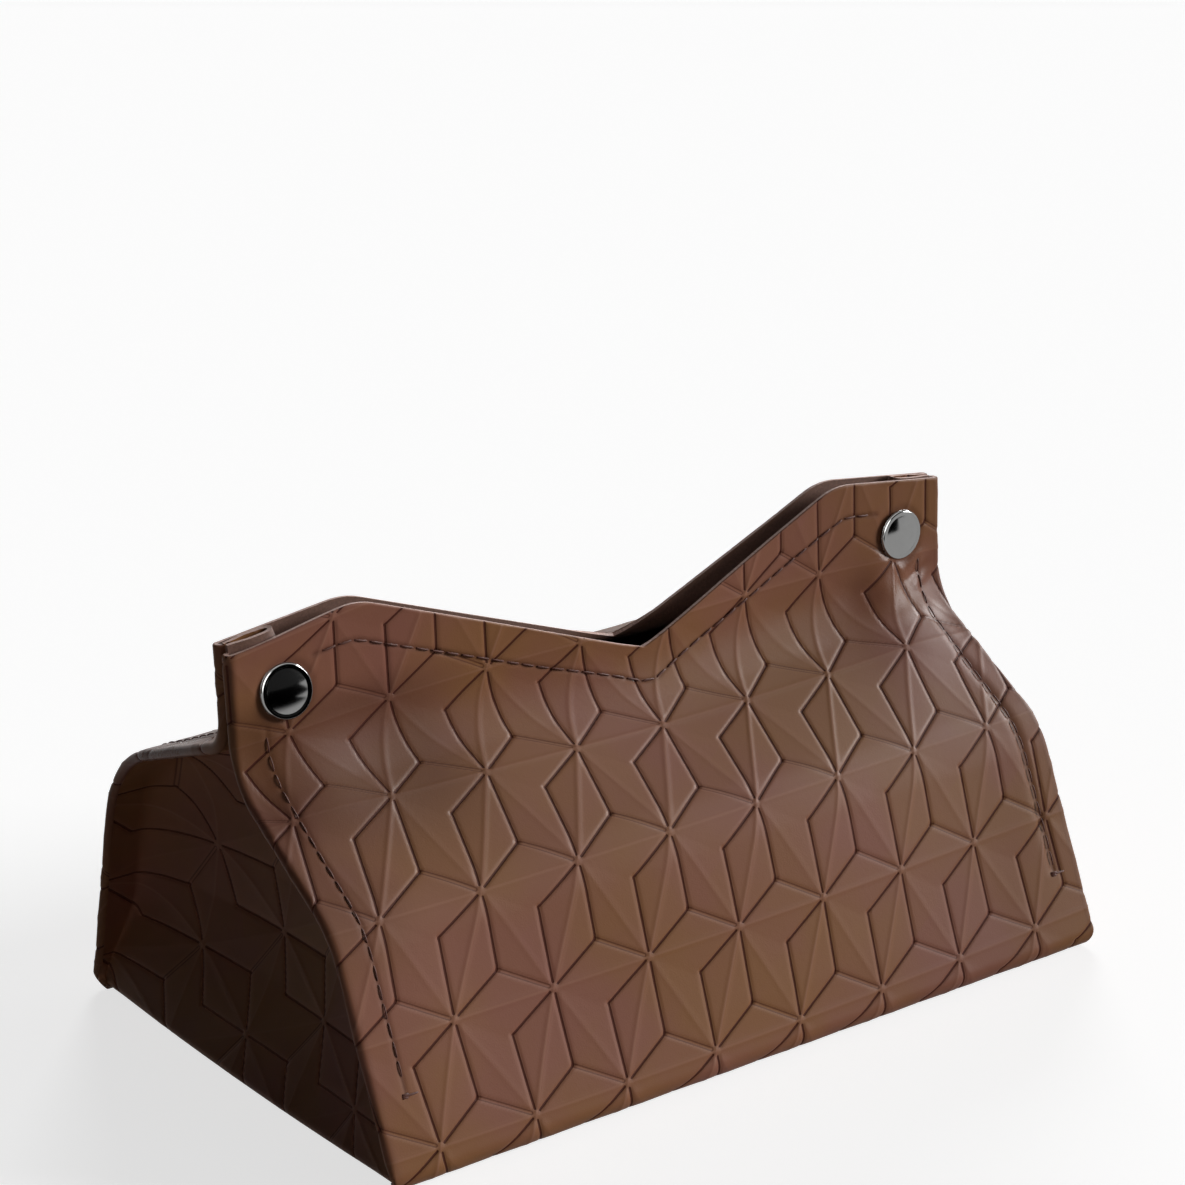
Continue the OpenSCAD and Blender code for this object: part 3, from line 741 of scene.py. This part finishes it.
def stitching(wall, which, thread):
    body = f"{which}_wall"
    reach = SNAP_X - CAP_R - CAP_CLEAR_X
    xs = np.linspace(-reach, reach, LINE_POINTS["mouth"])
    line = np.stack([xs, wall.s_of_z(HEIGHT + mouth_drop(xs, STITCH_INSET))], 1)
    thread_mesh(f"{which}_mouth_stitches", runs_along(wall, line), MOUTH_THREAD_R, thread,
                body, f"{which}_mouth_stitching")
    high = float(wall.s_of_z(SNAP_Z)) - CAP_R - CAP_CLEAR_S
    bars = []
    for side_x, side_name in SIDES:
        x = side_x * (HALF - HEM)
        s = np.linspace(SIDE_START + STITCH_PITCH / 2, high, LINE_POINTS["side"])
        line = np.stack([np.full(len(s), x), s], 1)
        thread_mesh(f"{which}_{side_name}_stitches", runs_along(wall, line), SIDE_THREAD_R, thread,
                    body, f"{which}_{side_name}_seam")
        for k, (first, last) in enumerate(TACKS):
            at = SIDE_START + (k - 1) * TACK_PITCH
            a, b = wall.point(x + first, at), wall.point(x + last, at - TACK_SLOPE)
            bars.append((a, b, wall.point(x, at, 1.0) - wall.point(x, at)))
    thread_mesh(f"{which}_tacks", bars, TACK_THREAD_R, thread, body, f"{which}_bar_tacks")


# Press studs

# How far the caps tip along x and z, in radians, and the height from which they tip fully
CAP_LEAN = {"left": (-0.05, 0.13), "right": (0.03, -0.03)}
LEAN_HEIGHT = 0.6
CAP_STEPS = 72
# A cap's outline: its sunk back, the rolled rim, the rounding above it, and the crown
BACK_INSET, BACK_DEPTH, CAP_LIFT = 0.7, -0.5, 0.02
RIM_R, RIM_ARC = 0.62, (-80, 0, 5)
ROUNDING_R, ROUNDING_Z, ROUNDING_ARC = 0.75, 0.55, (5, 66, 8)
CROWN_R, CROWN_Z, CROWN_RISE, CROWN_STEPS = 5.2, 0.94, 0.62, 14


def arc(centre, r, a0, a1, steps):
    angles = [math.radians(a0 + (a1 - a0) * k / steps) for k in range(steps + 1)]
    return [(centre[0] + r * math.cos(a), centre[1] + r * math.sin(a)) for a in angles]


def cap_outline():
    """(radius, height out of the wall), from the axis outwards along the back, and in again over the crown."""
    outline = [(0.0, BACK_DEPTH), (CAP_R - BACK_INSET, BACK_DEPTH), (CAP_R - BACK_INSET, CAP_LIFT)]
    outline += arc((CAP_R - RIM_R, RIM_R + CAP_LIFT), RIM_R, *RIM_ARC)
    outline += arc((CAP_R - ROUNDING_R, ROUNDING_Z), ROUNDING_R, *ROUNDING_ARC)
    for k in range(CROWN_STEPS + 1):
        out = 1 - k / CROWN_STEPS
        outline.append((CROWN_R * out, CROWN_Z + CROWN_RISE * (1 - out ** 2)))
    return outline


def turned_mesh(name, outline, centre, lean):
    """An outline turned about an axis along y, and tipped by lean."""
    verts = []
    for j in range(CAP_STEPS):
        g = 2 * math.pi * j / CAP_STEPS
        for r, h in outline:
            x, z = r * math.cos(g), r * math.sin(g)
            tip = min(max(h / LEAN_HEIGHT, 0), 1) * (lean[0] * x + lean[1] * z)
            verts.append((centre[0] + x, centre[1] - (h - tip), centre[2] + z))
    ids = np.arange(len(verts)).reshape(CAP_STEPS, -1)
    return new_mesh(name, [tuple(MM * c for c in v) for v in verts], cells(np.r_[ids, ids[:1]]).tolist())


def weld(mesh):
    """Join the points that the outline leaves double on its axis."""
    bm = bmesh.new()
    bm.from_mesh(mesh)
    bmesh.ops.remove_doubles(bm, verts=bm.verts, dist=1e-7)
    bmesh.ops.dissolve_degenerate(bm, edges=bm.edges, dist=1e-8)
    bmesh.ops.recalc_face_normals(bm, faces=bm.faces)
    bm.to_mesh(mesh)
    bm.free()


def snap_caps(nickel):
    outline = cap_outline()
    for side_x, side_name in SIDES:
        centre = (side_x * SNAP_X, -FACE_REACH, SNAP_Z)
        mesh = turned_mesh(f"{side_name}_cap", outline, centre, CAP_LEAN[side_name])
        mesh.materials.append(nickel)
        mesh.update()
        weld(mesh)
        obj = add_object(f"{side_name}_cap", mesh)
        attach(obj, "front_wall")
        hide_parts(f"{side_name}_snap_cap")


# Materials

def rgb(r, g, b):
    """A colour given as screen values from 0 to 255."""
    linear = [((c / 255 + 0.055) / 1.055) ** 2.4 if c > 10 else c / 255 / 12.92 for c in (r, g, b)]
    return (*linear, 1.0)


# The leather's two main tones, and what is laid over them in this order: how strongly, and its colour. The
# valley and the pale and deep lines are painted shade in the grooves, and the fifth layer holds the walls'
# darker stitch lines and painted shade
TONES = (rgb(125, 86, 54), rgb(126, 82, 68))
LAYERS = {
    "blotch": (0.35, rgb(118, 70, 50)),
    # Ridges: lighter partly from wear on the embossing and partly as painted highlight
    "ridges": (0.34, rgb(150, 108, 88)),
    "valley_painted_shade": (0.12, rgb(84, 48, 34)),
    "pale line": (0.62, rgb(66, 32, 22)),
    # The walls' darker stitch lines and painted shade
    "seams_and_painted_shade": (0.5, rgb(62, 32, 24)),
    "deep line": (0.88, rgb(58, 22, 14)),
}
FACET_SHARE = 0.18
# Lines of painted shade in the grooves, and the ridges' lines, in millimetres: full up to the first and gone
# from the second. The pale groove has one at each edge
DEEP_LINE, VALLEY, PALE_LINE, RIDGE_LINE = (0.16, 0.38), (0.2, 1.1), (0.06, 0.24), (0.08, 0.46)
PALE_EDGE = 0.36
ROW_RIDGE, CROSS_RIDGE = 0.7, 0.3
# Each facet of a lattice cell gets a number of its own from these
FACET_STEEP, FACET_LOWER = 0.31, 0.43
# Back and cut edge of the leather: colour, darker colour, roughness and scale of the grain
BACK_LOOK = (rgb(104, 72, 58), rgb(84, 56, 44), 0.7, 1.5)
CUT_LOOK = (rgb(205, 172, 160), rgb(164, 128, 116), 0.75, 2.5)
THREAD_DARK, THREAD_LIGHT = rgb(56, 30, 23), rgb(104, 64, 53)
# Metals: colour, roughness, and how much wear adds to it
NICKEL_LOOK, STEEL_LOOK = (rgb(160, 160, 159), 0.06, 0.08), (rgb(188, 187, 185), 0.3, 0.15)
# Noises: scale per millimetre of leather, detail and roughness
TONE_NOISE, BLOTCH_NOISE = (0.021, 3.0, 0.55), (0.06, 2.0, 0.5)
GRAIN_NOISE, PORE_NOISE = (2.6, 3.0, 0.6), (0.9, 2.0, 0.5)
BACK_DETAIL = (4.0, 0.65)
# The part of a noise's range over which tones change
BROAD, BLOTCHES, BACK_GRAIN = (0.35, 0.65), (0.62, 0.85), (0.3, 0.75)
# The same for thread and metal, per metre
FIBRE_NOISE, WEAR_NOISE = (9000.0, 2.0, 0.6), (700.0, 3.0, 0.6)
# Roughness of the leather: plain, added by grain and in grooves, and taken off where it is worn smooth
ROUGH, ROUGH_GRAIN, ROUGH_GROOVE, ROUGH_WORN = 0.45, 0.1, 0.2, 0.22
LEATHER_SHINE, THREAD_SHINE = 0.09, 0.2
# Bumps: strength, and height in metres
GRAIN_BUMP, GROOVE_BUMP, BACK_BUMP, FIBRE_BUMP = (0.22, 0.00012), (0.6, 0.00022), (0.35, 0.0001), (0.4, 0.00005)
PORE_SHARE = 0.6
METAL_DULL = 0.9


class Tree:
    """Short calls for the nodes of a material or the world. A value is a constant or another node's output."""

    def __init__(self, owner):
        owner.use_nodes = True
        self.owner, self.nodes, self.links = owner, owner.node_tree.nodes, owner.node_tree.links

    def node(self, kind, **settings):
        node = self.nodes.new(kind)
        for key, value in settings.items():
            setattr(node, key, value)
        return node

    def put(self, socket, value):
        if isinstance(value, bpy.types.NodeSocket):
            self.links.new(value, socket)
        else:
            socket.default_value = value

    def fill(self, node, *values):
        for socket, value in zip(node.inputs, values):
            self.put(socket, value)
        return node

    def fill_named(self, node, values):
        for key, value in values.items():
            self.put(node.inputs[key], value)

    def math(self, operation, *values, clamp=False):
        return self.fill(self.node("ShaderNodeMath", operation=operation, use_clamp=clamp), *values).outputs[0]

    def times(self, a, b, clamp=False):
        return self.math("MULTIPLY", a, b, clamp=clamp)

    def vector(self, operation, *values):
        node = self.fill(self.node("ShaderNodeVectorMath", operation=operation), *values)
        return node.outputs["Value" if operation in ("DOT_PRODUCT", "LENGTH", "DISTANCE") else "Vector"]

    def split(self, vector):
        return self.fill(self.node("ShaderNodeSeparateXYZ"), vector).outputs

    def combine(self, x, y):
        return self.fill(self.node("ShaderNodeCombineXYZ"), x, y).outputs[0]

    def step(self, value, low, high, first=0.0, last=1.0):
        """A soft step from first at low to last at high."""
        node = self.node("ShaderNodeMapRange", interpolation_type="SMOOTHSTEP")
        return self.fill(node, value, low, high, first, last).outputs["Result"]

    def drop(self, value, low, high):
        return self.step(value, low, high, 1.0, 0.0)

    def line(self, distance, reach):
        """1 on a line and 0 away from it, by the distance."""
        return self.math("SUBTRACT", 1.0, self.step(distance, *reach))

    def mix(self, factor, a, b):
        node = self.node("ShaderNodeMix", data_type="RGBA")
        for index, value in ((0, factor), (6, a), (7, b)):
            self.put(node.inputs[index], value)
        return node.outputs[2]

    def noise(self, vector, scale, detail, roughness):
        node = self.node("ShaderNodeTexNoise")
        self.fill_named(node, {"Vector": vector, "Scale": scale, "Detail": detail, "Roughness": roughness})
        return node.outputs["Fac"]

    def attribute(self, name, output):
        return self.node("ShaderNodeAttribute", attribute_name=name).outputs[output]


class Surface(Tree):
    """A material with its shader."""

    def __init__(self, name):
        super().__init__(bpy.data.materials.new(name))
        self.shader = self.nodes["Principled BSDF"]

    def set(self, **inputs):
        """Shader inputs, with _ for the spaces in their names."""
        self.fill_named(self.shader, {key.replace("_", " "): value for key, value in inputs.items()})

    def bump(self, height, strength, distance, normal=None):
        node = self.node("ShaderNodeBump")
        self.fill_named(node, {"Strength": strength, "Distance": distance, "Height": height})
        if normal is not None:
            self.put(node.inputs["Normal"], normal)
        return node.outputs["Normal"]


def segment_distance(m, place, ends):
    (ax, ay), (bx, by) = ends
    along = (bx - ax, by - ay, 0.0)
    size = along[0] ** 2 + along[1] ** 2
    rel = m.vector("SUBTRACT", place, (ax, ay, 0.0))
    t = m.times(m.vector("DOT_PRODUCT", rel, along), 1 / size, clamp=True)
    scaled = m.node("ShaderNodeVectorMath", operation="SCALE")
    m.put(scaled.inputs[0], along)
    m.put(scaled.inputs["Scale"], t)
    return m.vector("LENGTH", m.vector("SUBTRACT", rel, scaled.outputs["Vector"]))


def ridge_line(m, value, spacing):
    """1 on the ridges, which lie at whole numbers of value."""
    off = m.math("SUBTRACT", m.math("FRACT", m.math("ADD", value, 0.5)), 0.5)
    return m.line(m.times(m.math("ABSOLUTE", off), spacing), RIDGE_LINE)


def embossed_leather():
    """Satin brown imitation leather with the pressed lattice."""
    m = Surface("embossed_leather")
    place = m.attribute("pattern", "Vector")
    # The third value is the walls' darkening: darker stitch lines and painted shade
    u, v, seams_and_painted_shade = m.split(place)
    row = m.math("DIVIDE", v, STAR_B)
    column = m.math("SUBTRACT", m.math("DIVIDE", u, STAR_A), m.times(row, 0.5))
    fu, fv = m.math("FRACT", column), m.math("FRACT", row)
    cell = m.combine(m.times(m.math("MULTIPLY_ADD", fv, 0.5, fu), STAR_A), m.times(fv, STAR_B))
    deep = segment_distance(m, cell, DEEP_GROOVES[0])
    for ends in DEEP_GROOVES[1:]:
        deep = m.math("MINIMUM", deep, segment_distance(m, cell, ends))
    pale = m.math("ABSOLUTE", m.math("SUBTRACT", segment_distance(m, cell, PALE_GROOVE), PALE_EDGE))
    deep_line = m.line(deep, DEEP_LINE)
    # Ridges: lighter partly from wear and partly as painted highlight
    level = m.times(ridge_line(m, row, STAR_B), ROW_RIDGE)
    cross = ridge_line(m, m.math("ADD", row, column), RIDGE_SHARE)
    ridges = m.math("MAXIMUM", ridge_line(m, column, RIDGE_SHARE), level)
    ridges = m.math("MAXIMUM", ridges, m.times(cross, CROSS_RIDGE))
    lower = m.math("LESS_THAN", m.math("ADD", fu, fv), 1.0)
    steeper = m.math("GREATER_THAN", fu, fv)
    facet = m.combine(m.math("ADD", m.math("FLOOR", column), m.times(steeper, FACET_STEEP)),
                      m.math("ADD", m.math("FLOOR", row), m.times(lower, FACET_LOWER)))
    tone = m.node("ShaderNodeTexWhiteNoise")
    m.put(tone.inputs["Vector"], facet)
    broad = m.step(m.noise(place, *TONE_NOISE), *BROAD)
    hue = m.math("ADD", m.times(broad, 1 - FACET_SHARE), m.times(tone.outputs["Value"], FACET_SHARE))
    # The valley and the pale and deep lines are painted shade in the grooves
    amounts = {
        "blotch": m.step(m.noise(place, *BLOTCH_NOISE), *BLOTCHES),
        "ridges": ridges,
        "valley_painted_shade": m.line(deep, VALLEY),
        "pale line": m.line(pale, PALE_LINE),
        "seams_and_painted_shade": seams_and_painted_shade,
        "deep line": deep_line,
    }
    base = m.mix(hue, *TONES)
    for name, (share, colour) in LAYERS.items():
        base = m.mix(m.times(amounts[name], share), base, colour)
    grain = m.noise(place, *GRAIN_NOISE)
    pores = m.noise(place, *PORE_NOISE)
    worn = m.math("MINIMUM", m.attribute("worn", "Fac"), 1.0)
    rough = m.math("MULTIPLY_ADD", grain, ROUGH_GRAIN, ROUGH)
    rough = m.math("SUBTRACT", rough, m.times(worn, ROUGH_WORN))
    fine = m.bump(m.math("ADD", grain, m.times(pores, PORE_SHARE)), *GRAIN_BUMP)
    cuts = m.bump(m.math("SUBTRACT", 1.0, deep_line), *GROOVE_BUMP, fine)
    m.set(Base_Color=base, Roughness=m.math("MULTIPLY_ADD", deep_line, ROUGH_GROOVE, rough),
          Specular_IOR_Level=LEATHER_SHINE, Normal=cuts)
    return m.owner


def plain_leather(name, colour, dark, roughness, grain_scale):
    """The back of the leather, or its cut edge."""
    m = Surface(name)
    grain = m.noise(m.attribute("pattern", "Vector"), grain_scale, *BACK_DETAIL)
    m.set(Base_Color=m.mix(m.step(grain, *BACK_GRAIN), dark, colour), Roughness=roughness,
          Normal=m.bump(grain, *BACK_BUMP))
    return m.owner


def thread_material():
    m = Surface("thread")
    fibre = m.noise(m.node("ShaderNodeTexCoord").outputs["Object"], *FIBRE_NOISE)
    m.set(Base_Color=m.mix(fibre, THREAD_DARK, THREAD_LIGHT), Roughness=0.6,
          Specular_IOR_Level=THREAD_SHINE, Sheen_Weight=0.05, Normal=m.bump(fibre, *FIBRE_BUMP))
    return m.owner


def metal(name, colour, roughness, scratch):
    """Bright metal, slightly duller and rougher by patches."""
    m = Surface(name)
    wear = m.noise(m.node("ShaderNodeTexCoord").outputs["Object"], *WEAR_NOISE)
    duller = (*(c * METAL_DULL for c in colour[:3]), 1.0)
    m.set(Base_Color=m.mix(wear, colour, duller), Metallic=1.0,
          Roughness=m.math("MULTIPLY_ADD", wear, scratch, roughness))
    return m.owner


# Stage

WHITE = (1, 1, 1, 1)
FLOOR_SIZE, FLOOR_Z = 6.0, -0.0002
# The floor's grey, and how much it shines for the camera and in mirrors
FLOOR_GREY, FLOOR_SEEN, FLOOR_MIRRORED = 0.5, 0.7, 0.42
# Borders of the floor's dark patch in mirrors, in metres. Past DARK_FRONT it has no right border
DARK_LEFT, DARK_BACK, DARK_RIGHT, DARK_FRONT = (-0.3, -0.2), (-0.26, -0.17), (0.12, 0.16), (-0.4, -0.3)
DARK_SLANT, DARK_SLOPE = (0.04, 0.12), 0.7
# Borders of the dark room in mirrors, by direction
AHEAD_Y, AHEAD_X, ASIDE_Y, ASIDE_X = (-0.45, -0.1), (-0.35, -0.2), (-0.6, -0.2), (-0.5, -0.1)
ROOM_TOP, ROOM_DARK = (0.75, 0.95), 0.97
WINDOW_AT, WINDOW_REACH, WINDOW_LEVEL = (-0.55, -0.6, 0.5), (0.35, 0.5), 3.5
# The surround's light on the object grows from left to right
SOFT_X, SOFT_LEVELS = (-0.4, 0.4), (0.02, 0.14)
# Lamps: name, direction, power, spread in degrees, and whether it lights matt surfaces
LAMPS = (
    ("front_lamp", (0.80, -0.50, 0.28), 3.4, 24, True),
    ("back_lamp", (0.55, 0.72, 0.42), 1.1, 20, True),
    ("glint_lamp", (0.884, -0.006, 0.467), 5.0, 8, False),
)


def floor():
    """A pale floor that keeps the shadow. Mirrors see it darker in front of the object."""
    corners = [(FLOOR_SIZE * x, FLOOR_SIZE * y, 0) for x, y in ((-1, -1), (1, -1), (1, 1), (-1, 1))]
    mesh = new_mesh("floor", corners, [(0, 1, 2, 3)])
    obj = add_object("floor", mesh)
    obj.location.z = FLOOR_Z
    m = Tree(bpy.data.materials.new("floor"))
    m.nodes.clear()
    rays = m.node("ShaderNodeLightPath").outputs
    x, y, _ = m.split(m.node("ShaderNodeNewGeometry").outputs["Position"])
    shiny = rays["Is Glossy Ray"]
    dark = m.times(m.step(x, *DARK_LEFT), m.drop(y, *DARK_BACK))
    dark = m.times(dark, m.drop(m.math("MULTIPLY_ADD", y, DARK_SLOPE, x), *DARK_SLANT))
    within = m.math("MAXIMUM", m.drop(x, *DARK_RIGHT), m.drop(y, *DARK_FRONT))
    dark = m.times(m.times(dark, within), shiny)
    mirrored = m.times(shiny, m.math("MULTIPLY_ADD", dark, -FLOOR_MIRRORED, FLOOR_MIRRORED))
    seen = m.math("MAXIMUM", rays["Is Camera Ray"], rays["Is Transmission Ray"])
    paper = m.node("ShaderNodeBsdfDiffuse")
    m.put(paper.inputs["Color"], m.math("MULTIPLY_ADD", dark, -FLOOR_GREY, FLOOR_GREY))
    level = m.math("MAXIMUM", m.times(seen, FLOOR_SEEN), mirrored)
    glow = m.fill(m.node("ShaderNodeEmission"), WHITE, level)
    both = m.fill(m.node("ShaderNodeAddShader"), paper.outputs[0], glow.outputs[0])
    m.put(m.node("ShaderNodeOutputMaterial").inputs["Surface"], both.outputs[0])
    mesh.materials.append(m.owner)


def surround():
    """White for the camera, soft light on the object, and in mirrors a dark room with a bright window."""
    bpy.context.scene.world = bpy.data.worlds.new("world")
    m = Tree(bpy.context.scene.world)
    rays = m.node("ShaderNodeLightPath").outputs
    towards = m.node("ShaderNodeTexCoord").outputs["Generated"]
    x, y, z = m.split(towards)
    shiny = rays["Is Glossy Ray"]
    ahead = m.times(m.drop(y, *AHEAD_Y), m.step(x, *AHEAD_X))
    aside = m.times(m.step(y, *ASIDE_Y), m.drop(x, *ASIDE_X))
    room = m.times(m.math("MAXIMUM", ahead, aside), m.drop(z, *ROOM_TOP))
    window = m.step(m.vector("DISTANCE", towards, WINDOW_AT), *WINDOW_REACH, WINDOW_LEVEL, 0.0)
    mirrored = m.math("ADD", m.math("SUBTRACT", 1.0, m.times(room, ROOM_DARK)), window)
    seen = m.math("MAXIMUM", rays["Is Camera Ray"], rays["Is Transmission Ray"])
    soft = m.times(m.step(x, *SOFT_X, *SOFT_LEVELS), m.math("SUBTRACT", 1.0, shiny))
    level = m.math("MAXIMUM", m.math("MAXIMUM", seen, soft), m.times(shiny, mirrored))
    m.fill(m.nodes["Background"], WHITE, level)


def lamps():
    for name, towards, power, spread, diffuse in LAMPS:
        data = bpy.data.lights.new(name, "SUN")
        data.energy = power
        data.angle = math.radians(spread)
        lamp = add_object(name, data)
        lamp.location = towards
        lamp.visible_diffuse = diffuse
        lamp.rotation_mode = "QUATERNION"
        lamp.rotation_quaternion = (-Vector(towards)).to_track_quat("-Z", "Y")


def dress_nodes(steel, nickel):
    """Better materials for the CAD pieces that stay."""
    for _, side_name in SIDES:
        for part, material in (("socket", steel), ("spring", steel), ("stud", steel), ("post", nickel)):
            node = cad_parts[f"{side_name}_snap_{part}"]
            node.data.materials.clear()
            node.data.materials.append(material)


def main():
    camera()
    leather = (embossed_leather(), plain_leather("leather_back", *BACK_LOOK),
               plain_leather("leather_cut", *CUT_LOOK))
    thread = thread_material()
    nickel = metal("nickel", *NICKEL_LOOK)
    steel = metal("steel", *STEEL_LOOK)
    for wall, which in ((FRONT, "front"), (REAR, "rear")):
        obj = wall_sheet(wall, f"{which}_panel", leather)
        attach(obj, f"{which}_wall")
        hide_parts(f"{which}_wall")
        stitching(wall, which, thread)
    for sx, side_name in SIDES:
        end_panel(sx, side_name, leather)
    base_sheet(leather)
    snap_caps(nickel)
    dress_nodes(steel, nickel)
    floor()
    surround()
    lamps()
    bpy.context.scene.view_settings.view_transform = "Standard"


main()
